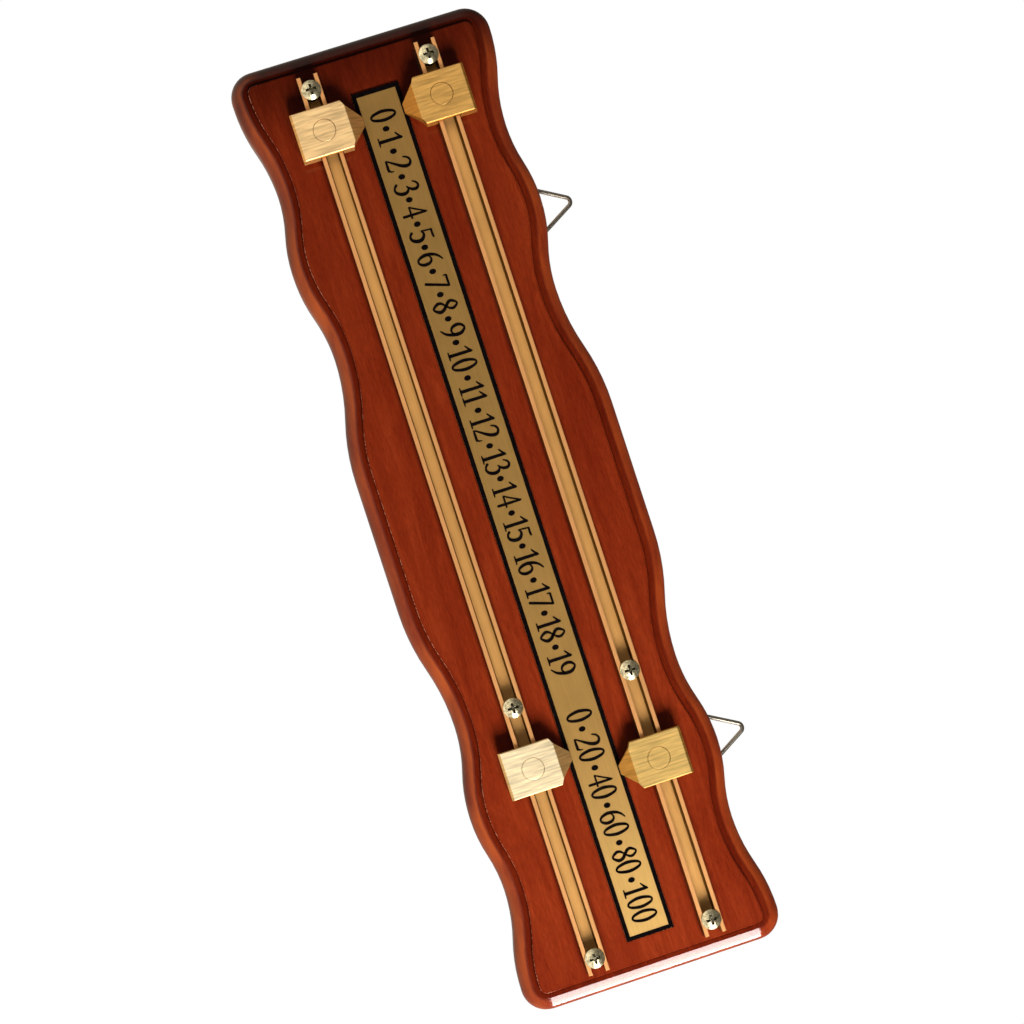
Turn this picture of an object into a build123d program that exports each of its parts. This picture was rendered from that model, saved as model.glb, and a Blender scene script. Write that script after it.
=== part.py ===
"""Two-player billiard scoreboard: a small moulded wooden board with a number strip and two
channel rails, each with two sliding pointers, and two wire rings on the back to hang it by.

Frame: millimetres, as it hangs. +X runs along the board from 0 to 100, +Z is up and -Y is out of
the wall. The origin is the centre of the board's back face, so the board's face is at
y = -board_thickness.
"""
from build123d import *
import os
from math import cos, radians, sin, sqrt

# The wooden board: its outline, from the middle of a long edge towards its end
board_length = 381.0
board_width = 104.8
board_thickness = 14.0
corner_radius = 10.0
plateau_half_length = 26.5
inner_valley_x = 75.0
inner_valley_depth = 7.1
hanger_peak_x = 111.0
hanger_peak_depth = 1.7
outer_valley_x = 141.6
outer_valley_depth = 5.8

# The moulding round the board's face: a step down from the flat field to a narrow ledge, then a roll
# that meets the ledge at a low arris and the board's side in a smooth curve
moulding_width = 7.0
ledge_width = 1.9
ledge_depth = 1.2
roll_radius = 6.5
field_edge_radius = 0.4
back_edge_chamfer = 0.6

# The number strip
strip_length = 343.0
strip_width = 19.0
strip_thickness = 0.7
strip_x = 2.9
strip_edge_chamfer = 0.2
fittings_z = 1.6

# The two channel rails
rail_length = 360.3
rail_x = 1.1
rail_spacing = 47.0
rail_width = 8.4
rail_height = 7.0
rail_wall = 0.8
rail_floor = 0.8
rail_lip = 0.8
rail_slot = 5.3
rail_edge_radius = 0.3

# The rail screws: domed heads that sit on the lips and stop the pointers
end_screw_inset = 5.9
middle_screw_x = 75.0
head_radius = 3.85
head_height = 2.2
head_rim = 0.5
shank_radius = 2.0
screw_grip = 9.0
floor_hole_clearance = 0.25
pilot_clearance = 0.05
pilot_spare_depth = 0.5
recess_arm = 4.2
recess_width = 1.0
recess_depth = 1.5

# The pointers: blocks grooved to sit astride a rail, with a bevelled point over the strip's edge
pointer_width = 18.7
pointer_thickness = 5.4
pointer_web = 1.8
pointer_back = 11.2
pointer_shoulder = 8.85
pointer_bevel_start = 10.0
pointer_bevel_width = 14.4
pointer_reach = 15.4
pointer_tip_width = 3.4
pointer_tip_thickness = 1.2
pointer_back_chamfer = 1.0
pointer_edge_chamfer = 0.35
pointer_ride_gap = 0.3
pointer_side_gap = 0.3

# Where the four pointers stand in the rest pose: how far each is from the screw on its left
upper_units_from_screw = 16.4
upper_twenties_from_screw = 35.3
lower_units_from_screw = 16.6
lower_twenties_from_screw = 24.3

# The studs that hold the pointers down: a disc let into the face, a neck and a foot
stud_disc_radius = 4.4
stud_disc_thickness = 1.1
stud_disc_chamfer = 0.25
stud_slot_clearance = 0.25
stud_fit_gap = 0.03
stud_foot_thickness = 1.2
stud_foot_gap = 0.3

# The two hangers on the back: a folded strap, its screw and a bent-wire ring
hanger_spacing = 218.2
hanger_knuckle_drop = 5.4
wire_radius = 0.85
wire_running_clearance = 0.06
ring_side = 22.0
ring_corner_radius = 2.0
strap_width = 9.0
strap_thickness = 0.8
strap_leaf_gap = 0.1
strap_fold_end = -35
strap_length = 25.0
strap_corner_radius = 2.0
strap_hole_radius = 1.75
strap_screw_from_end = 5.0
strap_head_radius = 2.9
strap_head_height = 1.7
strap_head_rim = 0.4
strap_shank_radius = 1.5
strap_screw_grip = 9.0

# Places worked out from the sizes above
face_y = -board_thickness
roll_width = moulding_width - ledge_width
roll_rise = roll_radius - sqrt(roll_radius ** 2 - (roll_radius - roll_width) ** 2)
lip_top_y = face_y - rail_height
pointer_under_y = lip_top_y - pointer_ride_gap - pointer_web + pointer_thickness
rail_z = {"upper": fittings_z + rail_spacing / 2, "lower": fittings_z - rail_spacing / 2}
rail_start_x = rail_x - rail_length / 2
screw_xs = [rail_start_x + end_screw_inset, middle_screw_x, rail_x + rail_length / 2 - end_screw_inset]
stud_neck_radius = rail_slot / 2 - stud_slot_clearance
stud_foot_radius = rail_width / 2 - rail_wall - stud_slot_clearance
pointer_places = {
    "upper_units": (screw_xs[0] + upper_units_from_screw, "upper"),
    "upper_twenties": (screw_xs[1] + upper_twenties_from_screw, "upper"),
    "lower_units": (screw_xs[0] + lower_units_from_screw, "lower"),
    "lower_twenties": (screw_xs[1] + lower_twenties_from_screw, "lower"),
}
knuckle_bore_radius = wire_radius + wire_running_clearance
knuckle_y = knuckle_bore_radius + strap_thickness
knuckle_z = board_width / 2 - hanger_peak_depth - hanger_knuckle_drop
strap_screw_z = knuckle_z - strap_length + strap_screw_from_end
hanger_xs = {"left": rail_x - hanger_spacing / 2, "right": rail_x + hanger_spacing / 2}


def on_front(y):
    """Plane that faces out of the wall at depth y: sketches in it are drawn in X and Z."""
    return Plane(origin=(0, y, 0), x_dir=(1, 0, 0), z_dir=(0, -1, 0))


def on_back(x, y, z):
    """Plane at a point, facing the wall: what stands on it stands out behind the board."""
    return Plane(origin=(x, y, z), x_dir=(-1, 0, 0), z_dir=(0, 1, 0))


def swing(start, end):
    """Two equal arcs between two turning points of the wave, level at both ends."""
    middle = ((start[0] + end[0]) / 2, (start[1] + end[1]) / 2)
    return [
        TangentArc(start, middle, tangent=(1, 0)),
        TangentArc(end, middle, tangent=(-1, 0)),
    ]


def board_outline():
    """Outline of the board: the same wave along both long edges, round corners, straight ends."""
    crest = board_width / 2
    corner_x = board_length / 2 - corner_radius
    turns = [
        (plateau_half_length, crest),
        (inner_valley_x, crest - inner_valley_depth),
        (hanger_peak_x, crest - hanger_peak_depth),
        (outer_valley_x, crest - outer_valley_depth),
        (corner_x, crest),
    ]
    quarter = [Line((0, crest), turns[0])]
    for start, end in zip(turns, turns[1:]):
        quarter += swing(start, end)
    quarter.append(TangentArc(turns[-1], (board_length / 2, crest - corner_radius), tangent=(1, 0)))
    quarter.append(Line((board_length / 2, crest - corner_radius), (board_length / 2, 0)))
    half = quarter + [edge.mirror(Plane.XZ) for edge in quarter]
    return make_face(half + [edge.mirror(Plane.YZ) for edge in half])


def pilot(plane, radius, depth):
    """Pilot hole for a wood screw, from a plane into the wood behind it."""
    return plane * Cylinder(radius + pilot_clearance, depth + pilot_spare_depth,
                            align=(Align.CENTER, Align.CENTER, Align.MAX))


def make_backboard():
    """Moulded board: a slab with a rolled edge, and its flat field standing a step higher."""
    outline = board_outline()
    slab_thickness = board_thickness - ledge_depth
    slab = extrude(on_front(0) * outline, slab_thickness + roll_rise)
    slab = fillet(slab.faces().sort_by(Axis.Y)[0].edges(), roll_radius)
    slab = chamfer(slab.faces().sort_by(Axis.Y)[-1].edges(), back_edge_chamfer)
    slab -= extrude(on_front(-slab_thickness) * Rectangle(2 * board_length, 2 * board_width), 2 * roll_rise)
    field = extrude(on_front(0) * offset(outline, amount=-moulding_width), board_thickness)
    field = fillet(field.faces().sort_by(Axis.Y)[0].edges(), field_edge_radius)
    board = slab + field
    for z in rail_z.values():
        for x in screw_xs:
            board -= pilot(Plane(origin=(x, face_y, z), z_dir=(0, -1, 0)), shank_radius, screw_grip)
    for x in hanger_xs.values():
        board -= pilot(on_back(x, 0, strap_screw_z), strap_shank_radius, strap_screw_grip)
    return board


def make_number_strip():
    """Flat metal plate between the rails, with its face edges broken."""
    plate = extrude(on_front(face_y) * Pos(strip_x, fittings_z) * Rectangle(strip_length, strip_width),
                    strip_thickness)
    return chamfer(plate.faces().sort_by(Axis.Y)[0].edges(), strip_edge_chamfer)


def make_rail(side):
    """Channel rail with two in-turned lips, a screw hole through its floor in mid length, and a
    notch in each end of the floor for the end screws."""
    across = Plane(origin=(rail_start_x, face_y, rail_z[side]), x_dir=(0, 0, 1), z_dir=(1, 0, 0))
    body = Rectangle(rail_width, rail_height, align=(Align.CENTER, Align.MIN))
    body = fillet(body.vertices().group_by(Axis.Y)[-1], rail_edge_radius)
    cavity = Pos(0, rail_floor) * Rectangle(rail_width - 2 * rail_wall,
                                            rail_height - rail_floor - rail_lip,
                                            align=(Align.CENTER, Align.MIN))
    slot = Pos(0, rail_floor) * Rectangle(rail_slot, rail_height, align=(Align.CENTER, Align.MIN))
    rail = extrude(across * (body - cavity - slot), rail_length)
    middle_hole = Cylinder(shank_radius + floor_hole_clearance, 4 * rail_floor)
    rail -= Pos(middle_screw_x, face_y, rail_z[side]) * Rot(X=90) * middle_hole
    notch = Box(2 * end_screw_inset, rail_slot, 4 * rail_floor) + [
        Pos(x, 0, 0) * Cylinder(rail_slot / 2, 4 * rail_floor) for x in (-end_screw_inset, end_screw_inset)]
    for end_x in (rail_start_x, rail_start_x + rail_length):
        rail -= Pos(end_x, face_y, rail_z[side]) * Rot(X=90) * notch
    return rail


def make_screw(radius, height, rim, shank, length):
    """Domed cross-head screw on the Z axis, the underside of its head at the origin."""
    profile = make_face([
        Polyline((0, height), (0, -length), (shank, -length + shank), (shank, 0), (radius, 0), (radius, rim)),
        TangentArc((0, height), (radius, rim), tangent=(1, 0)),
    ])
    screw = revolve(Plane.XZ * profile, Axis.Z)
    size = radius / head_radius
    for turn in (0, 90):
        arm = Rot(Z=turn) * Box(recess_arm * size, recess_width * size, 2 * recess_depth * size)
        screw -= Pos(0, 0, height) * arm
    return screw


def make_rail_screws(side):
    """The three screws of one rail, standing on its lips."""
    screws = []
    for x in screw_xs:
        seat = Plane(origin=(x, lip_top_y, rail_z[side]), z_dir=(0, -1, 0))
        screws.append(seat * make_screw(head_radius, head_height, head_rim, shank_radius,
                                        rail_height + screw_grip))
    return Compound(children=screws)


def pointer_frame(name):
    """Plane of a pointer's underside, at its stud, with local +Y towards the strip."""
    x, side = pointer_places[name]
    towards_strip = -1 if side == "upper" else 1
    return Plane(origin=(x, pointer_under_y, rail_z[side]), x_dir=(towards_strip, 0, 0), z_dir=(0, -1, 0))


def make_pointer(name):
    """Pointed block with a groove for the rail, a bevelled nose and a seat for its stud."""
    half = pointer_width / 2
    bevel = pointer_bevel_width / 2
    tip = pointer_tip_width / 2
    outline = Polygon(
        (-half, -pointer_back), (half, -pointer_back), (half, pointer_shoulder),
        (bevel, pointer_bevel_start), (tip, pointer_reach), (-tip, pointer_reach),
        (-bevel, pointer_bevel_start), (-half, pointer_shoulder), align=None)
    block = extrude(outline, pointer_thickness)
    top_edges = block.faces().sort_by(Axis.Z)[-1].edges()
    back_edge = top_edges.sort_by(Axis.Y)[0]
    block = chamfer(back_edge, pointer_back_chamfer)
    side_edges = block.faces().sort_by(Axis.Z)[-1].edges().filter_by(Axis.Y)
    block = chamfer(side_edges, pointer_edge_chamfer)
    nose_cut = Polygon(
        (pointer_bevel_start, pointer_thickness), (pointer_reach, pointer_tip_thickness),
        (pointer_reach + 1, pointer_tip_thickness), (pointer_reach + 1, pointer_thickness + 1),
        (pointer_bevel_start, pointer_thickness + 1), align=None)
    block -= extrude(Plane.YZ * nose_cut, pointer_width, both=True)
    seat = Pos(0, 0, pointer_thickness - stud_disc_thickness - stud_fit_gap) * Cylinder(
        stud_disc_radius + stud_fit_gap, pointer_thickness, align=(Align.CENTER, Align.CENTER, Align.MIN))
    neck_hole = Cylinder(stud_neck_radius + stud_fit_gap, 3 * pointer_thickness)
    groove = Pos(0, 0, pointer_thickness - pointer_web) * Box(
        2 * pointer_width, rail_width + 2 * pointer_side_gap, 2 * pointer_thickness,
        align=(Align.CENTER, Align.CENTER, Align.MAX))
    return pointer_frame(name) * (block - groove - seat - neck_hole)


def make_stud(name):
    """Turned stud: disc flush with the pointer's face, neck through the slot, foot in the channel."""
    foot_top = pointer_thickness - pointer_web - pointer_ride_gap - rail_lip - stud_foot_gap
    foot_bottom = foot_top - stud_foot_thickness
    disc_bottom = pointer_thickness - stud_disc_thickness
    rim = stud_disc_radius - stud_disc_chamfer
    profile = Polyline(
        (0, foot_bottom), (stud_foot_radius, foot_bottom), (stud_foot_radius, foot_top),
        (stud_neck_radius, foot_top), (stud_neck_radius, disc_bottom), (stud_disc_radius, disc_bottom),
        (stud_disc_radius, pointer_thickness - stud_disc_chamfer), (rim, pointer_thickness),
        (0, pointer_thickness), close=True)
    return pointer_frame(name) * revolve(Plane.XZ * make_face(profile), Axis.Z)


def make_hanger_strap(side):
    """Steel strap folded round the ring's wire: two leaves on the board's back, one screw hole."""
    middle = strap_thickness / 2
    loop = knuckle_bore_radius + middle
    outer_leaf_y = strap_thickness + strap_leaf_gap + middle
    joggle_start = -(loop + 2 * strap_thickness)
    leave = (loop * cos(radians(strap_fold_end)), loop * sin(radians(strap_fold_end)))
    centre_line = [
        Line((-loop, -strap_length), (-loop, 0)),
        CenterArc((0, 0), loop, strap_fold_end, 180 - strap_fold_end),
        Polyline(leave, (outer_leaf_y - knuckle_y, joggle_start), (outer_leaf_y - knuckle_y, -strap_length)),
    ]
    section = Sketch() + [trace(line, strap_thickness) for line in centre_line]
    across = Plane(origin=(hanger_xs[side] - strap_width / 2, knuckle_y, knuckle_z),
                   x_dir=(0, 1, 0), z_dir=(1, 0, 0))
    strap = extrude(across * section, strap_width)
    strap = fillet(strap.edges().filter_by(Axis.Y).group_by(Axis.Z)[0], strap_corner_radius)
    hole = Cylinder(strap_hole_radius, 6 * strap_thickness)
    return strap - on_back(hanger_xs[side], 0, strap_screw_z) * hole


def make_hanger_screw(side):
    """Small domed screw that holds a strap to the board's back."""
    seat = on_back(hanger_xs[side], 2 * strap_thickness + strap_leaf_gap, strap_screw_z)
    return seat * make_screw(strap_head_radius, strap_head_height, strap_head_rim, strap_shank_radius,
                             strap_screw_grip)


def make_hanger_ring(side):
    """Triangle of bent wire, its base bar through the strap's knuckle and its point upwards."""
    corners = [(ring_side / 2, 0), (0, ring_side * sin(radians(60))), (-ring_side / 2, 0)]
    path = FilletPolyline(*corners, radius=ring_corner_radius, close=True)
    section = Plane(origin=path @ 0, z_dir=path % 0) * Circle(wire_radius)
    frame = Plane(origin=(hanger_xs[side], knuckle_y, knuckle_z), x_dir=(1, 0, 0), z_dir=(0, -1, 0))
    return frame * sweep(section, path=path)


def main():
    os.makedirs("parts", exist_ok=True)
    nodes = {"backboard": make_backboard(), "number_strip": make_number_strip()}
    for side in rail_z:
        nodes[side + "_rail"] = make_rail(side)
        nodes[side + "_rail_screws"] = make_rail_screws(side)
    for name in pointer_places:
        nodes[name + "_pointer"] = make_pointer(name)
        nodes[name + "_stud"] = make_stud(name)
    for side in hanger_xs:
        nodes[side + "_hanger_strap"] = make_hanger_strap(side)
        nodes[side + "_hanger_screw"] = make_hanger_screw(side)
        nodes[side + "_hanger_ring"] = make_hanger_ring(side)
    for name, solid in nodes.items():
        export_step(solid, "parts/" + name + ".step")


main()
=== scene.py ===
"""Looks of a two-player billiard scoreboard: stained and lacquered wood, gold-anodised rails, brushed
pointers, nickel screws, zinc straps, wire rings, and a number strip printed in black.

Everything is in metres in the part's own frame: +X along the board from 0 to 100, +Z up as it hangs,
and -Y out of the wall. MM turns a size in millimetres into metres. Materials and printing are laid out
in millimetres.
"""
from math import hypot, pi, radians, sin, sqrt

import bpy
from mathutils import Matrix, Vector


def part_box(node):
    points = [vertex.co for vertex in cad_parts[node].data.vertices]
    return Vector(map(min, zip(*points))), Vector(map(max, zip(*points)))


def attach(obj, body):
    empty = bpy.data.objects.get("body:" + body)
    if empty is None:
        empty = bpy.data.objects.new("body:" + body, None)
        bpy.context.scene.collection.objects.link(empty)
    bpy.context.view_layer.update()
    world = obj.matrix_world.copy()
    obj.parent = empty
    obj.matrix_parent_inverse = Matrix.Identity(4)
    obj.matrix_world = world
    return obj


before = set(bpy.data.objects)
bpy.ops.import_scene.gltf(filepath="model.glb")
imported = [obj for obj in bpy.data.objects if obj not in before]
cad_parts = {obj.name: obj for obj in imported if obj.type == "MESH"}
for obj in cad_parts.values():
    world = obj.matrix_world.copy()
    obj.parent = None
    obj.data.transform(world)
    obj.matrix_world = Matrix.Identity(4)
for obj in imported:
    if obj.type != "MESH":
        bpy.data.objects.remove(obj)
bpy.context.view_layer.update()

MM = 0.001
MM_PER_METRE = 1000.0


def box_mm(node):
    """A node's lowest and highest corners in millimetres."""
    return [corner * MM_PER_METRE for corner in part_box(node)]


# Sizes inside the solids, which their boxes don't show
rail_lip = 0.8
rail_slot = 5.3
ledge_depth = 1.2

strip_low, strip_high = box_mm("number_strip")
lower_rail_low = box_mm("lower_rail")[0]
upper_rail_low = box_mm("upper_rail")[0]
fittings_z = (strip_low.z + strip_high.z) / 2
rail_spacing = upper_rail_low.z - lower_rail_low.z
rail_top = lower_rail_low.y
lip_underside = rail_top + rail_lip
slot_half = rail_slot / 2
pointer_face = box_mm("lower_units_pointer")[0].y
field_y = box_mm("backboard")[0].y
ledge_y = field_y + ledge_depth


# Materials


# The Mix node has sockets for every kind of value, which only their numbers tell apart
MIX_FACTOR = 0
MIX_VECTORS = (4, 5)
MIX_COLOURS = (6, 7)
MIXED_VECTOR = 1
MIXED_COLOUR = 2


def is_socket(value):
    """Whether a value is the output of another node."""
    return isinstance(value, bpy.types.NodeSocket)


class Nodes:
    """Builds a node tree. A value that is a socket is linked, any other is set."""

    def __init__(self, tree):
        self.tree = tree
        self.tree.nodes.clear()

    def add(self, kind, inputs=None, **settings):
        node = self.tree.nodes.new(kind)
        for key, value in settings.items():
            setattr(node, key, value)
        for key, value in (inputs or {}).items():
            socket = node.inputs[key]
            if is_socket(value):
                self.tree.links.new(value, socket)
            else:
                socket.default_value = value
        return node

    def step(self, value, start, end):
        """0 at one value, 1 at the other, and smooth between."""
        return self.add("ShaderNodeMapRange", {"Value": value, "From Min": start, "From Max": end},
                        interpolation_type="SMOOTHSTEP").outputs[0]

    def between(self, value, first, last, start=0.0, end=1.0):
        """First where the value is at its start, last at its end, and straight between."""
        return self.add("ShaderNodeMapRange", {"Value": value, "From Min": start, "From Max": end,
                                               "To Min": first, "To Max": last}).outputs[0]

    def math(self, operation, first, second=0.0):
        """One operation on one or two numbers."""
        return self.add("ShaderNodeMath", {0: first, 1: second}, operation=operation).outputs[0]

    def product(self, first, *others):
        """Numbers multiplied together."""
        for other in others:
            first = self.math("MULTIPLY", first, other)
        return first


class Finish(Nodes):
    """A material under construction."""

    def __init__(self, name):
        self.material = bpy.data.materials.new(name)
        self.material.use_nodes = True
        super().__init__(self.material.node_tree)

    def place(self, stretch=(1, 1, 1), shift=(0, 0, 0)):
        """The surface point in millimetres, multiplied by stretch along each axis."""
        where = self.add("ShaderNodeTexCoord").outputs["Object"]
        scaled = self.add("ShaderNodeVectorMath", {0: where, 1: [s * MM_PER_METRE for s in stretch]},
                          operation="MULTIPLY")
        return self.add("ShaderNodeVectorMath", {0: scaled.outputs[0], 1: shift}).outputs[0]

    def coordinate(self, axis):
        """The surface point's place on one axis, in millimetres."""
        return self.add("ShaderNodeSeparateXYZ", {0: self.place()}).outputs["xyz".index(axis)]

    def along(self, axis, start, end):
        """0 before one place along an axis, 1 past the other, in millimetres, and smooth between."""
        return self.step(self.coordinate(axis), start, end)

    def noise(self, stretch, detail=2.0, roughness=0.5, shift=(0, 0, 0), distortion=0.0):
        """Noise from 0 to 1 with stretch cells per millimetre along each axis."""
        return self.add("ShaderNodeTexNoise", {"Vector": self.place(stretch, shift), "Scale": 1.0,
                                               "Detail": detail, "Roughness": roughness,
                                               "Distortion": distortion}).outputs["Fac"]

    def ramp(self, value, *stops):
        """Colours or greys at places along a value."""
        node = self.add("ShaderNodeValToRGB", {"Fac": value})
        elements = node.color_ramp.elements
        while len(elements) < len(stops):
            elements.new(0.5)
        for element, (position, colour) in zip(elements, stops):
            element.position = position
            element.color = (*colour, 1.0) if hasattr(colour, "__len__") else (colour,) * 3 + (1.0,)
        return node.outputs["Color"]

    def mix(self, amount, first, second, blend="MIX"):
        """Mixes two colours."""
        colours = [colour if is_socket(colour) else (*colour, 1.0) for colour in (first, second)]
        return self.add("ShaderNodeMix", {MIX_FACTOR: amount, **dict(zip(MIX_COLOURS, colours))},
                        data_type="RGBA", blend_type=blend).outputs[MIXED_COLOUR]

    def mix_vectors(self, amount, first, second):
        """Mixes two directions."""
        return self.add("ShaderNodeMix", {MIX_FACTOR: amount, **dict(zip(MIX_VECTORS, (first, second)))},
                        data_type="VECTOR").outputs[MIXED_VECTOR]

    def tinted(self, colour, shade):
        """A colour multiplied by a shade."""
        return self.mix(1.0, colour, shade, "MULTIPLY")

    def shaded(self, amount, colour, shade):
        """A colour multiplied by a shade, by some amount."""
        return self.mix(amount, colour, self.tinted(colour, shade))

    def crevice(self, reach, dark, start=0.4, end=0.85):
        """Shade that falls to dark in corners narrower than reach, in millimetres."""
        nearby = self.add("ShaderNodeAmbientOcclusion", {"Distance": reach * MM}, samples=6).outputs["AO"]
        return self.ramp(nearby, (start, dark), (end, 1.0))

    def bump(self, height, depth, strength, below=None):
        """Surface relief whose height runs from 0 to depth millimetres, over other normals, if any."""
        inputs = {"Height": height, "Distance": depth * MM, "Strength": strength}
        if below is not None:
            inputs["Normal"] = below
        return self.add("ShaderNodeBump", inputs).outputs["Normal"]

    def eased(self, radius):
        """Normals that round every sharp edge off by a radius in millimetres."""
        return self.add("ShaderNodeBevel", {"Radius": radius * MM}, samples=6).outputs[0]

    def facing(self):
        """The surface's own normal."""
        return self.add("ShaderNodeNewGeometry").outputs["Normal"]

    def surface(self, **inputs):
        """Ends the material with one Principled shader. Socket names have _ for a space."""
        shader = self.add("ShaderNodeBsdfPrincipled", {k.replace("_", " "): v for k, v in inputs.items()})
        self.add("ShaderNodeOutputMaterial", {"Surface": shader.outputs[0]})
        return self.material


def stained_grain(wood, pores):
    """Red-brown stain over straight grain along the board, with painted shade towards the 0 end."""
    broad = wood.noise((0.009, 0.03, 0.035), detail=2.0, distortion=0.3)
    bands = wood.noise((0.03, 0.26, 0.28), detail=5.0, roughness=0.62, distortion=0.9)
    fibres = wood.noise((0.28, 2.0, 2.4), detail=3.0, roughness=0.75)
    stain = wood.ramp(bands, (0.28, (0.146, 0.0140, 0.0036)), (0.52, (0.190, 0.0210, 0.0052)),
                      (0.76, (0.243, 0.0315, 0.0080)))
    stain = wood.tinted(stain, wood.ramp(broad, (0.3, (0.86, 0.78, 0.76)), (0.7, (1.1, 1.16, 1.1))))
    stain = wood.shaded(0.9, stain, wood.ramp(fibres, (0.3, 0.70), (0.7, 1.26)))
    # Painted shade: darker towards the 0 end, which faces away from the light
    painted_shade_towards_zero = wood.along("x", -150.0, -186.0)
    stain = wood.shaded(painted_shade_towards_zero, stain, (0.42, 0.36, 0.36))
    return wood.shaded(0.5, stain, wood.ramp(pores, (0.27, 0.45), (0.37, 1.0)))


def moulding_tones(wood, stain, low_edge):
    """Lighter orange in patches on the moulding's roll, partly thinner stain and partly painted light, most
    along the low edge and away from the 0 end, and painted shade on its ledge."""
    below_field = wood.along("y", field_y + 0.4, field_y + 0.8)
    past_ledge = wood.along("y", ledge_y + 0.05, ledge_y + 0.5)
    front = wood.along("y", -1.0, -5.0)
    away_from_zero = wood.along("x", -184.0, -168.0)
    patchy = wood.ramp(wood.noise((0.035, 0.12, 0.12), detail=4.0), (0.36, 0.1), (0.66, 1.0))
    # Partly thinner stain in patches, partly painted light: lighter on the roll along the low edge and away
    # from the 0 end
    thin_stain_and_painted_light = wood.product(past_ledge, front, patchy, wood.between(low_edge, 0.5, 0.85),
                           wood.math("MAXIMUM", away_from_zero, low_edge))
    stain = wood.mix(thin_stain_and_painted_light, stain, (0.40, 0.074, 0.0125))
    # Painted shade: darker on the ledge below the step
    painted_shade_on_ledge = wood.math("SUBTRACT", below_field, past_ledge)
    return wood.shaded(painted_shade_on_ledge, stain, (0.60, 0.48, 0.44))


def edge_tones(wood, stain, low_edge):
    """Painted shade along the field's edge and in corners, and a dotted painted highlight on the low edge's
    arris.
    """
    likeness = wood.add("ShaderNodeVectorMath", {0: wood.eased(1.3), 1: wood.facing()},
                        operation="DOT_PRODUCT")
    near_edge = wood.step(likeness.outputs["Value"], 0.99, 0.90)
    on_field = wood.along("y", field_y + 0.02, field_y)
    # Painted shade: darker on the field along its edge, above the step
    stain = wood.shaded(wood.product(near_edge, on_field), stain, (0.42, 0.32, 0.28))
    # Painted shade: darker in corners
    stain = wood.tinted(stain, wood.crevice(2.0, (0.22, 0.16, 0.14)))
    # Painted highlight: a pale dotted line along the arris of the low edge
    past_field = wood.along("y", field_y, field_y + 0.03)
    above_step = wood.along("y", field_y + 0.36, field_y + 0.22)
    dots = wood.ramp(wood.noise((1.1, 1.1, 1.1), detail=2.0), (0.45, 0.0), (0.60, 0.55))
    painted_arris_highlight = wood.product(past_field, above_step, dots, low_edge)
    return wood.mix(painted_arris_highlight, stain, (0.60, 0.26, 0.17))


def lacquered_wood():
    """Stained wood under gloss lacquer, which reflects as a flat sheet over the field and ledge and as a
    rounded one over the roll."""
    wood = Finish("lacquered_wood")
    pores = wood.noise((0.30, 5.5, 6.5), detail=1.0, shift=(7.0, 3.0, 1.0))
    low_edge = wood.along("z", -36.0, -44.0)
    stain = stained_grain(wood, pores)
    stain = moulding_tones(wood, stain, low_edge)
    stain = edge_tones(wood, stain, low_edge)
    on_roll = wood.along("y", ledge_y + 0.01, ledge_y + 0.1)
    sheet = wood.mix_vectors(on_roll, (0.0, -1.0, 0.0), wood.eased(0.6))
    ripple = wood.noise((0.10, 0.16, 0.22), detail=2.0)
    return wood.surface(Base_Color=stain, Roughness=0.5, Specular_IOR_Level=0.0,
                        Normal=wood.bump(pores, 0.012, 0.25), Coat_Weight=0.45, Coat_Roughness=0.10,
                        Coat_IOR=1.5, Coat_Normal=wood.bump(ripple, 0.03, 0.3, sheet))


def brushed_metal(name, colour, metallic, roughness, along, streaks, contrast, spread=0.0, edge=0.12):
    """Metal brushed along one axis: fine hairs and soft streaks in its tone, so many streaks to a
    millimetre, and fine relief. Spread draws its highlights out across the hairs."""
    metal = Finish(name)
    across = "x" if along == "z" else "z"
    hair = metal.noise([9.0 if axis == across else 0.06 for axis in "xyz"], detail=2.0, roughness=0.6)
    streak = metal.noise([streaks if axis == across else 0.10 for axis in "xyz"], detail=3.0,
                         roughness=0.55, shift=(4.0, 9.0, 2.0))
    cloud = metal.noise((0.08, 0.08, 0.08), detail=2.0, shift=(1.0, 6.0, 3.0))
    shade = metal.tinted(colour, metal.ramp(streak, (0.3, 1.0 - contrast), (0.7, 1.0 + 0.5 * contrast)))
    shade = metal.shaded(0.6, shade, metal.ramp(hair, (0.3, 0.88), (0.7, 1.06)))
    shade = metal.shaded(0.7, shade, metal.ramp(cloud, (0.3, 0.9), (0.7, 1.05)))
    rough = metal.between(hair, roughness * 0.9, roughness * 1.1)
    relief = metal.bump(metal.math("ADD", hair, streak), 0.004, 0.4, metal.eased(edge))
    direction = [1.0 if axis == along else 0.0 for axis in "xyz"]
    sideways = metal.add("ShaderNodeVectorMath", {0: direction, 1: metal.facing()},
                         operation="CROSS_PRODUCT")
    return metal, shade, {"Metallic": metallic, "Roughness": rough, "Normal": relief,
                          "Anisotropic": spread, "Tangent": sideways.outputs[0],
                          "Specular_IOR_Level": 0.2}


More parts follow.
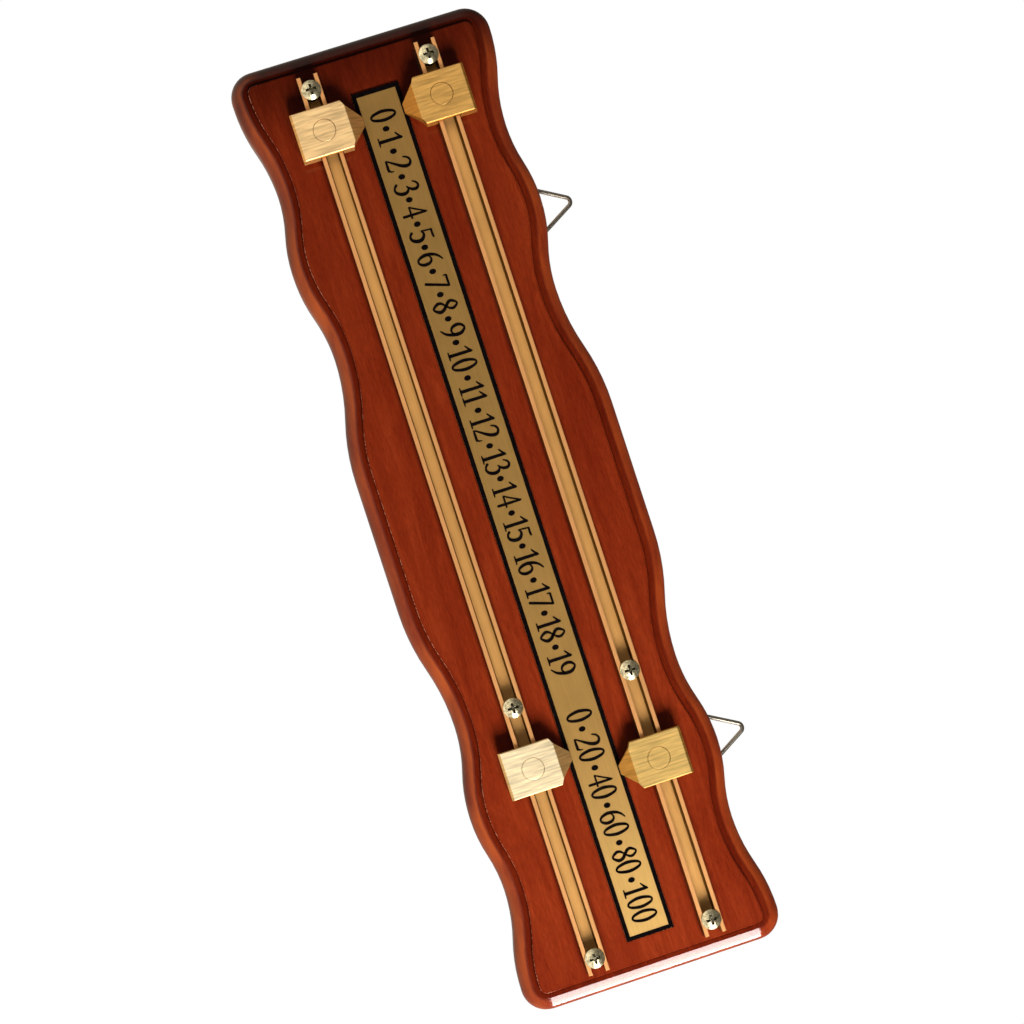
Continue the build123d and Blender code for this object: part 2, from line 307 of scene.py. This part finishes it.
def pointer_metal(name, edge, painted_shade):
    """Brass brushed towards the point, with painted light making it paler on the lower pair and
    towards 100. With painted shade, it is browner on bevels and side walls and in corners."""
    metal, shade, settings = brushed_metal(name, (1.0, 1.0, 1.0), metallic=0.8, roughness=0.44, along="z",
                                           streaks=1.3, contrast=0.32, spread=0.3, edge=edge)
    # Painted light: the lower pair paler than the upper, and both paler towards 100
    upper = metal.along("z", -3.0, 6.0)
    painted_light_towards_100 = metal.along("x", -20.0, 20.0)
    lit_lower_tone = metal.mix(painted_light_towards_100, (0.98, 0.70, 0.37), (0.98, 0.82, 0.54))
    shaded_upper_tone = metal.mix(painted_light_towards_100, (0.73, 0.43, 0.13), (0.73, 0.49, 0.165))
    shade = metal.tinted(shade, metal.mix(upper, lit_lower_tone, shaded_upper_tone))
    if painted_shade:
        # Painted shade: browner on bevels and side walls, and darker in corners
        lowered = metal.along("y", pointer_face + 0.05, pointer_face + 0.25)
        shade = metal.shaded(lowered, shade, (0.74, 0.54, 0.32))
        shade = metal.tinted(shade, metal.crevice(0.9, (0.55, 0.45, 0.34), 0.3, 0.7))
    return metal.surface(Base_Color=shade, **settings)


def rail_metal():
    """Gold anodising, rosier on the rubbed lips, with painted shade where the channel runs under them
    and in corners.
    """
    metal, shade, settings = brushed_metal("rail_gold", (0.66, 0.345, 0.11), metallic=0.5, roughness=0.40,
                                           along="x", streaks=2.2, contrast=0.06)
    rubbed = metal.along("y", lip_underside, rail_top)
    shade = metal.shaded(rubbed, shade, (1.06, 0.99, 1.20))
    # Painted shade: dark where the channel runs under the lips
    from_strip = metal.math("ABSOLUTE", metal.math("SUBTRACT", metal.coordinate("z"), fittings_z))
    from_middle = metal.math("ABSOLUTE", metal.math("SUBTRACT", from_strip, rail_spacing / 2))
    beside_lip = metal.step(from_middle, slot_half - 0.65, slot_half - 0.4)
    below_lip = metal.along("y", lip_underside - 0.3, lip_underside)
    shade = metal.shaded(metal.product(beside_lip, below_lip), shade, (0.20, 0.15, 0.07))
    # Painted shade: darker in corners
    shade = metal.tinted(shade, metal.crevice(0.8, (0.35, 0.25, 0.14), 0.2, 0.6))
    return metal.surface(Base_Color=shade, **settings)


def strip_metal():
    """Satin gold plate under the printing, with painted light making it paler at the 100 end."""
    metal, shade, settings = brushed_metal("strip_gold", (0.56, 0.33, 0.10), metallic=0.8, roughness=0.44,
                                           along="x", streaks=1.2, contrast=0.06)
    # Painted light: paler towards the 100 end
    painted_light_towards_100 = metal.along("x", 80.0, 165.0)
    shade = metal.shaded(painted_light_towards_100, shade, (1.3, 1.38, 1.5))
    return metal.surface(Base_Color=shade, **settings)


def plated_metal(name, colour, roughness, grain, dull=0.72):
    """Bright plated metal with uneven polish, dull in patches, small marks and painted shade in its
    recesses.
    The patches' grain is so many to a millimetre."""
    metal = Finish(name)
    cloud = metal.noise((grain, grain, grain), detail=4.0, roughness=0.65)
    marks = metal.noise((grain * 4, grain * 4, grain * 4), detail=2.0, shift=(5.0, 1.0, 8.0))
    shade = metal.ramp(cloud, (0.35, [dull * c for c in colour]), (0.62, colour))
    # Painted shade: darker in recesses and corners
    shade = metal.tinted(shade, metal.crevice(1.2, (0.06, 0.045, 0.02), 0.35, 0.85))
    rough = metal.between(cloud, roughness * 0.7, roughness * 1.4)
    return metal.surface(Base_Color=shade, Metallic=1.0, Roughness=rough,
                         Normal=metal.bump(marks, 0.01, 0.3, metal.eased(0.12)))


def printing_ink():
    """Black screen-printed enamel, not quite even."""
    ink = Finish("printing_ink")
    patches = ink.noise((0.6, 0.6, 0.6), detail=3.0)
    colour = ink.ramp(patches, (0.3, (0.0022, 0.0016, 0.0020)), (0.7, (0.0050, 0.0036, 0.0040)))
    skin = ink.bump(ink.noise((2.0, 2.0, 2.0), detail=2.0), 0.01, 0.3)
    return ink.surface(Base_Color=colour, Roughness=0.5, Specular_IOR_Level=0.0, Normal=skin)


wood = lacquered_wood()
pointer_brass = pointer_metal("pointer_brass", edge=0.12, painted_shade=True)
stud_brass = pointer_metal("stud_brass", edge=0.3, painted_shade=False)
rail_gold = rail_metal()
strip_gold = strip_metal()
screw_nickel = plated_metal("screw_nickel", (0.96, 0.88, 0.60), roughness=0.24, grain=0.7, dull=0.4)
strap_zinc = plated_metal("strap_zinc", (0.62, 0.62, 0.60), roughness=0.34, grain=0.7)
ring_steel = plated_metal("ring_steel", (0.42, 0.38, 0.32), roughness=0.30, grain=1.2)
ink = printing_ink()


def dress(material, *nodes):
    """Gives CAD nodes a material."""
    for node in nodes:
        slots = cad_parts[node].data.materials
        slots.clear()
        slots.append(material)


sliders = ("upper_units", "upper_twenties", "lower_units", "lower_twenties")
dress(wood, "backboard")
dress(strip_gold, "number_strip")
dress(rail_gold, "upper_rail", "lower_rail")
dress(screw_nickel, "upper_rail_screws", "lower_rail_screws")
dress(pointer_brass, *(s + "_pointer" for s in sliders))
dress(stud_brass, *(s + "_stud" for s in sliders))
dress(strap_zinc, "left_hanger_strap", "right_hanger_strap", "left_hanger_screw", "right_hanger_screw")
dress(ring_steel, "left_hanger_ring", "right_hanger_ring")


# The printing on the number strip: a black border, figures and dots


ink_thickness = 0.03
# Each stroke of a figure stands this much higher than the last, so that no two faces lie in one plane
stroke_step = 0.002
# Every width of the pen is multiplied by this weight
stroke_weight = 1.28
thinnest_stroke = 0.02
border_inset = 0.04
border_width = 1.65
figure_height = 10.0
dot_width = 2.1
print_y = strip_low.y
baseline_z = (strip_low.z + strip_high.z - figure_height) / 2

# Each figure is a few pen strokes. Each place of the pen has its x and height from the middle of the
# figure's foot, and the width of the stroke there, in millimetres
FIGURES = {
    "0": [("loop", (1.75, 5.0, 1.0), (1.1, 8.6, 0.85), (0.0, 9.8, 0.65), (-1.1, 8.6, 0.85),
           (-1.75, 5.0, 1.0), (-1.1, 1.4, 0.85), (0.0, 0.2, 0.65), (1.1, 1.4, 0.85))],
    "1": [("line", (0.0, 9.1, 0.95), (0.0, 0.5, 1.05)),
          ("line", (0.25, 9.45, 0.5), (-0.9, 8.3, 0.65), (-2.2, 7.3, 0.45)),
          ("line", (-1.6, 0.27, 0.42), (0.0, 0.35, 0.6), (1.6, 0.27, 0.42))],
    "2": [("line", (-2.15, 7.3, 0.45), (-1.5, 8.8, 0.7), (-0.1, 9.6, 0.75), (1.35, 8.9, 0.95),
           (1.6, 7.4, 1.1), (1.0, 5.5, 1.0), (-0.45, 3.2, 0.75), (-2.05, 0.8, 0.5)),
          ("line", (-2.1, 0.4, 0.6), (0.0, 0.42, 0.85), (1.9, 0.45, 0.8)),
          ("line", (1.75, 0.6, 0.7), (2.25, 1.3, 0.5), (2.35, 2.3, 0.3))],
    "3": [("line", (-2.0, 7.8, 0.45), (-1.2, 9.0, 0.65), (0.0, 9.55, 0.75), (1.1, 8.7, 0.95),
           (1.1, 7.1, 0.95), (0.35, 5.9, 0.7), (-0.5, 5.15, 0.5)),
          ("line", (-0.3, 5.35, 0.4), (0.75, 5.45, 0.65), (1.75, 4.5, 1.0), (1.95, 3.0, 1.1),
           (1.4, 1.4, 1.0), (0.4, 0.45, 0.8), (-0.8, 0.4, 0.65), (-1.7, 1.0, 0.75), (-2.1, 1.45, 0.85))],
    "4": [("line", (1.05, 9.6, 0.45), (-0.5, 6.4, 0.55), (-2.1, 3.5, 0.5)),
          ("line", (-2.1, 3.42, 0.6), (2.2, 3.42, 0.62)),
          ("line", (1.05, 9.2, 0.7), (1.0, 5.0, 0.82), (1.0, 0.4, 0.82))],
    "5": [("line", (-1.4, 8.95, 0.7), (0.6, 8.95, 0.72), (1.65, 9.1, 0.6)),
          ("line", (-1.4, 8.9, 0.55), (-1.65, 5.1, 0.5)),
          ("line", (-1.55, 5.05, 0.45), (-0.65, 5.7, 0.75), (0.6, 5.4, 0.95), (1.6, 4.3, 1.1),
           (1.75, 2.7, 1.15), (1.1, 1.1, 1.0), (0.0, 0.4, 0.8), (-1.1, 0.6, 0.75), (-1.9, 1.35, 0.85))],
    "6": [("line", (1.25, 9.75, 0.45), (-0.35, 8.5, 0.72), (-1.45, 6.7, 0.92), (-1.9, 4.4, 1.05),
           (-1.75, 2.6, 1.0), (-1.0, 0.9, 0.8), (0.0, 0.35, 0.68), (1.0, 0.9, 0.85), (1.65, 2.4, 1.0),
           (1.5, 4.2, 0.95), (0.75, 5.3, 0.75), (-0.35, 5.5, 0.6), (-1.5, 4.8, 0.45))],
    "7": [("line", (-1.95, 8.95, 0.72), (2.15, 8.95, 0.75)),
          ("line", (-2.05, 8.9, 0.55), (-2.15, 7.8, 0.35)),
          ("line", (2.1, 8.8, 0.75), (0.7, 4.6, 0.85), (-0.7, 0.35, 0.85))],
    "8": [("loop", (-0.1, 5.3, 0.95), (-1.35, 6.6, 1.0), (-1.5, 8.0, 0.9), (-0.1, 9.7, 0.62),
           (1.3, 8.1, 0.85), (1.15, 6.6, 0.8), (-0.05, 5.2, 0.55), (-1.4, 3.8, 0.8), (-1.6, 2.2, 0.95),
           (0.0, 0.3, 0.68), (1.65, 2.2, 1.05), (1.25, 4.0, 1.05))],
    "9": [("line", (-0.95, 0.2, 0.45), (0.75, 1.9, 0.8), (1.65, 4.2, 1.0), (1.9, 6.2, 1.1),
           (1.6, 8.0, 1.0), (0.1, 9.45, 0.68), (-1.35, 8.5, 0.9), (-1.75, 6.8, 1.0), (-1.2, 5.0, 0.85),
           (0.0, 4.2, 0.65), (1.0, 4.5, 0.55), (1.6, 5.2, 0.45))],
    ".": [("line", (-0.01, 4.5, dot_width), (0.01, 4.5, dot_width))],
}
# How far each figure moves the next one along
ADVANCE = {"0": 5.3, "1": 4.0, "2": 5.3, "3": 4.2, "4": 4.8, "5": 4.3, "6": 4.7, "7": 4.3, "8": 4.7,
           "9": 4.5, ".": 5.1}
units_start_x = -160.2
twenties_start_x = 83.1
units_text = ".".join(str(n) for n in range(20))
twenties_text = ".".join(str(n) for n in range(0, 101, 20))


def along_curve(points, closed, steps=7):
    """Points of a smooth curve through the pen's places, with its width as the third value."""
    count = len(points)
    spans = count if closed else count - 1
    curve = []
    for span in range(spans):
        if closed:
            near = [points[(span + k) % count] for k in (-1, 0, 1, 2)]
        else:
            near = [points[min(max(span + k, 0), count - 1)] for k in (-1, 0, 1, 2)]
        for step in range(steps):
            t = step / steps
            curve.append([0.5 * (2 * b + (c - a) * t + (2 * a - 5 * b + 4 * c - d) * t ** 2
                                 + (3 * b - a - 3 * c + d) * t ** 3) for a, b, c, d in zip(*near)])
    return curve if closed else curve + [list(points[-1])]


def round_ends(curve, steps=4):
    """Adds a half-round end to both ends of an open stroke."""
    def cap(end, inner):
        run = hypot(end[0] - inner[0], end[1] - inner[1])
        ahead = ((end[0] - inner[0]) / run, (end[1] - inner[1]) / run)
        radius = end[2] / 2
        reaches = [radius * sin(pi / 2 * (k + 1) / steps) for k in range(steps)]
        return [[end[0] + ahead[0] * r, end[1] + ahead[1] * r,
                 max(2 * sqrt(max(radius ** 2 - r ** 2, 0.0)), thinnest_stroke)] for r in reaches]
    return cap(curve[0], curve[1])[::-1] + curve + cap(curve[-1], curve[-2])


def stroke_sides(curve, closed):
    """Left and right edge of a stroke, from the pen's places and widths."""
    left, right = [], []
    count = len(curve)
    for i, (x, y, width) in enumerate(curve):
        before = curve[(i - 1) % count] if closed or i > 0 else curve[i]
        after = curve[(i + 1) % count] if closed or i < count - 1 else curve[i]
        dx, dy = after[0] - before[0], after[1] - before[1]
        length = hypot(dx, dy)
        nx, ny = -dy / length * width / 2, dx / length * width / 2
        left.append((x + nx, y + ny))
        right.append((x - nx, y - ny))
    return left, right


def raised_ribbon(vertices, faces, left, right, closed, thickness):
    """Adds a closed thin solid between two edges given in X and Z, standing on the strip's face."""
    first = len(vertices)
    for a, b in zip(left, right):
        for x, z, y in ((*a, print_y - thickness), (*b, print_y - thickness), (*a, print_y), (*b, print_y)):
            vertices.append((x * MM, y * MM, z * MM))
    count = len(left)
    for i in range(count if closed else count - 1):
        a, b = first + 4 * i, first + 4 * ((i + 1) % count)
        faces += [(a, b, b + 1, a + 1), (a + 2, a + 3, b + 3, b + 2),
                  (a, a + 2, b + 2, b), (a + 1, b + 1, b + 3, a + 3)]
    if not closed:
        last = first + 4 * (count - 1)
        faces += [(first, first + 1, first + 3, first + 2), (last, last + 2, last + 3, last + 1)]


def piece(name, vertices, faces, material, body):
    """A mesh object that rides on a body."""
    mesh = bpy.data.meshes.new(name)
    mesh.from_pydata(vertices, [], faces)
    mesh.materials.append(material)
    mesh.update()
    made = bpy.data.objects.new(name, mesh)
    bpy.context.scene.collection.objects.link(made)
    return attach(made, body)


def print_figures():
    """All figures and dots, laid out from the left like type."""
    vertices, faces = [], []
    for text, start_x in ((units_text, units_start_x), (twenties_text, twenties_start_x)):
        cursor = start_x
        for letter in text:
            middle = cursor + ADVANCE[letter] / 2
            cursor += ADVANCE[letter]
            for order, (kind, *pen) in enumerate(FIGURES[letter]):
                closed = kind == "loop"
                curve = along_curve(pen, closed)
                if not closed:
                    curve = round_ends(curve)
                curve = [(middle + x, baseline_z + y, width * stroke_weight) for x, y, width in curve]
                thickness = ink_thickness + order * stroke_step
                raised_ribbon(vertices, faces, *stroke_sides(curve, closed), closed, thickness)
    return piece("figures", vertices, faces, ink, "board")


def print_border():
    """Black border just inside the strip's edge."""
    rings = []
    for inset in (border_inset, border_inset + border_width):
        x0, x1 = strip_low.x + inset, strip_high.x - inset
        z0, z1 = strip_low.z + inset, strip_high.z - inset
        rings.append([(x0, z0), (x1, z0), (x1, z1), (x0, z1)])
    vertices, faces = [], []
    raised_ribbon(vertices, faces, rings[1], rings[0], True, ink_thickness)
    return piece("strip_border", vertices, faces, ink, "board")


print_figures()
print_border()


# Floor, lights and camera


floor_half = 4.0
floor_z = -0.6
diffuse_colour = (1.0, 0.90, 0.80)
diffuse_front, diffuse_behind = 0.15, 1.1
gloss_colour = (1.0, 0.90, 0.76)
gloss_above, gloss_below = 0.12, 1.0
gloss_past_zero = 1.2
gloss_range, gloss_least = 0.95, 0.05
white_colour = (1.0, 1.0, 1.0)


def make_floor():
    """Plain pale floor well below the board."""
    corners = [(x, y, floor_z) for x, y in ((-floor_half, -floor_half), (floor_half, -floor_half),
                                            (floor_half, floor_half), (-floor_half, floor_half))]
    mesh = bpy.data.meshes.new("floor")
    mesh.from_pydata(corners, [], [(0, 1, 2, 3)])
    pale = Finish("pale_floor")
    cloud = pale.noise((0.002, 0.002, 0.002), detail=2.0)
    tone = pale.ramp(cloud, (0.3, 0.90), (0.7, 0.93))
    mesh.materials.append(pale.surface(Base_Color=tone, Roughness=0.8, Emission_Color=(*white_colour, 1.0),
                                       Emission_Strength=1.2))
    floor = bpy.data.objects.new("floor", mesh)
    floor.visible_glossy = False
    floor.visible_diffuse = False
    bpy.context.scene.collection.objects.link(floor)


def make_world():
    """White backdrop, a warm room that lights the board softly and its back more, and what the finishes
    reflect: a dark middle in front of the board, brighter sides, brightest below and dim above, and a
    little brighter past the 0 end."""
    world = bpy.data.worlds.new("room")
    bpy.context.scene.world = world
    world.use_nodes = True
    room = Nodes(world.node_tree)

    def background(colour, strength=1.0):
        return room.add("ShaderNodeBackground", {"Color": (*colour, 1.0), "Strength": strength}).outputs[0]

    path = room.add("ShaderNodeLightPath")
    towards = room.add("ShaderNodeSeparateXYZ", {0: room.add("ShaderNodeTexCoord").outputs["Generated"]})
    x, y, z = towards.outputs
    aside = room.step(room.product(y, -1.0), 0.97, 0.80)
    below = room.between(z, gloss_above, gloss_below, 0.5, -0.5)
    past_zero = room.between(x, gloss_past_zero, 1.0, -0.6, 0.0)
    reflected = room.product(aside, below, past_zero, gloss_range)
    behind = room.between(y, diffuse_front, diffuse_behind, 0.1, 0.6)
    gloss = background(gloss_colour, room.math("ADD", reflected, gloss_least))
    white = background(white_colour)
    shown = background(diffuse_colour, behind)
    for ray, other in (("Is Glossy Ray", gloss), ("Is Camera Ray", white)):
        shown = room.add("ShaderNodeMixShader", {0: path.outputs[ray], 1: shown, 2: other}).outputs[0]
    room.add("ShaderNodeOutputWorld", {"Surface": shown})


def area_light(name, place, aim, size, power, colour, nodes=(), **seen):
    """Rectangular soft light at a place, facing a point. It lights only the given nodes, if any."""
    light = bpy.data.lights.new(name, "AREA")
    light.shape = "RECTANGLE"
    light.size, light.size_y = size
    light.energy = power
    light.color = colour
    lamp = bpy.data.objects.new(name, light)
    bpy.context.scene.collection.objects.link(lamp)
    lamp.location = place
    lamp.rotation_euler = (Vector(aim) - Vector(place)).to_track_quat("-Z", "Y").to_euler()
    lamp.visible_camera = False
    for kind, shown in seen.items():
        setattr(lamp, kind, shown)
    if nodes:
        lit = bpy.data.collections.new(name + "_lights")
        for node in nodes:
            lit.objects.link(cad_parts[node])
        lamp.light_linking.receiver_collection = lit


camera_place = Vector((0.0654, -0.8401, -0.0487))
camera_aim = Vector((0.0627, -0.0140, 0.0002))
camera_roll = 71.92
camera_lens = 75.5
camera_sensor = 36.0
camera_shift = (-0.044, 0.1445)
camera_reach = (0.05, 20.0)


def make_camera():
    """The photograph's view: square on to the board, turned so that 0 is at the top."""
    data = bpy.data.cameras.new("camera")
    data.lens = camera_lens
    data.sensor_width = camera_sensor
    data.shift_x, data.shift_y = camera_shift
    data.clip_start, data.clip_end = camera_reach
    camera = bpy.data.objects.new("camera", data)
    bpy.context.scene.collection.objects.link(camera)
    level = (camera_aim - camera_place).to_track_quat("-Z", "Y").to_matrix().to_4x4()
    roll = Matrix.Rotation(radians(camera_roll), 4, "Z")
    camera.matrix_world = Matrix.Translation(camera_place) @ level @ roll
    bpy.context.scene.camera = camera


make_floor()
make_world()
metal_nodes = [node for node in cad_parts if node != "backboard"]
gold_nodes = [node for node in metal_nodes if node.endswith(("_rail", "_pointer", "_stud"))]

# The window stands past the 100 end and lights everything. The two glares are what the lacquer and the
# metals reflect of it, and the fill lifts the gold pieces from the 0 end
area_light("window", place=(1.0, -0.88, -0.02), aim=(0.0, -0.01, 0.0), size=(0.50, 0.50), power=33.0,
           colour=(1.0, 0.95, 0.86), visible_glossy=False)
area_light("wood_glare", place=(0.937, -0.348, 0.05), aim=(0.19, 0.0, 0.05), size=(1.83, 0.28), power=62.0,
           colour=(1.0, 0.96, 0.95), nodes=["backboard"], visible_diffuse=False)
area_light("metal_glare", place=(0.86, -0.48, 0.0), aim=(0.15, 0.0, 0.0), size=(1.13, 0.55), power=13.5,
           colour=(1.0, 0.97, 0.93), nodes=metal_nodes, visible_diffuse=False)
area_light("metal_fill", place=(-0.45, -0.80, 0.0), aim=(-0.14, 0.0, 0.0), size=(0.60, 0.60), power=1.0,
           colour=(1.0, 0.88, 0.68), nodes=gold_nodes)
make_camera()
bpy.context.scene.view_settings.view_transform = "Standard"
